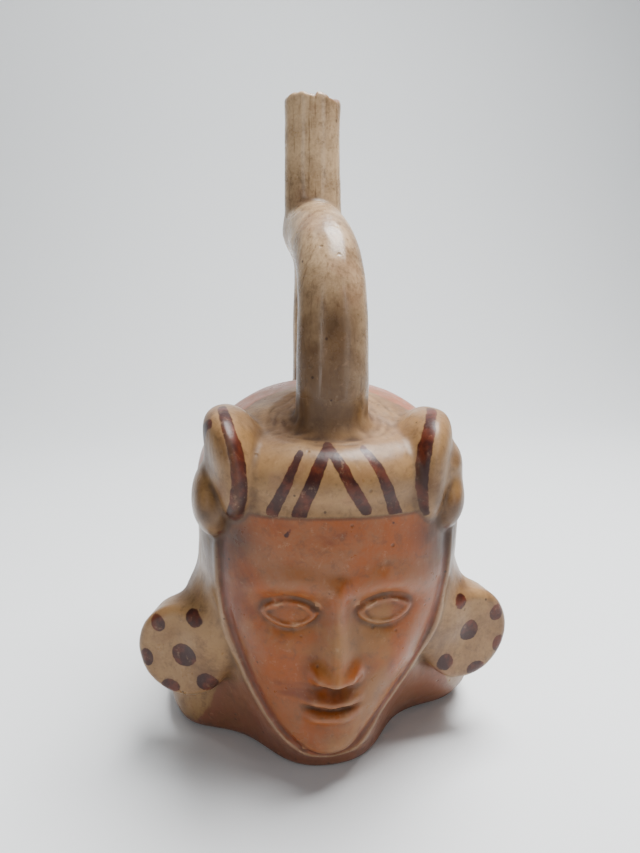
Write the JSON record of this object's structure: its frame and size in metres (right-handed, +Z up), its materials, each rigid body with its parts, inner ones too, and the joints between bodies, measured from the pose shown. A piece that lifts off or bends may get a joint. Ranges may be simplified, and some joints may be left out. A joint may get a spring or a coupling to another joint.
{
  "type": "stirrup spout vessel",
  "caption": "Hollow fired clay stirrup spout vessel shaped as a head with a rolled headband, side lobes and round ear discs.",
  "frame": {"origin": "centre of the bounding box's underside, on the surface the vessel stands on", "axes": "+Z up through the spout, the face looks toward -Y, +X is to the right as seen from the front"},
  "size_m": [0.158, 0.1493, 0.27],
  "materials": {
    "slip_painted_clay": "burnished cream and orange slip with red-brown painted stripes and dots"
  },
  "bodies": {
    "root": {"stirrup_spout_vessel": "slip_painted_clay"}
  },
  "joints": []
}
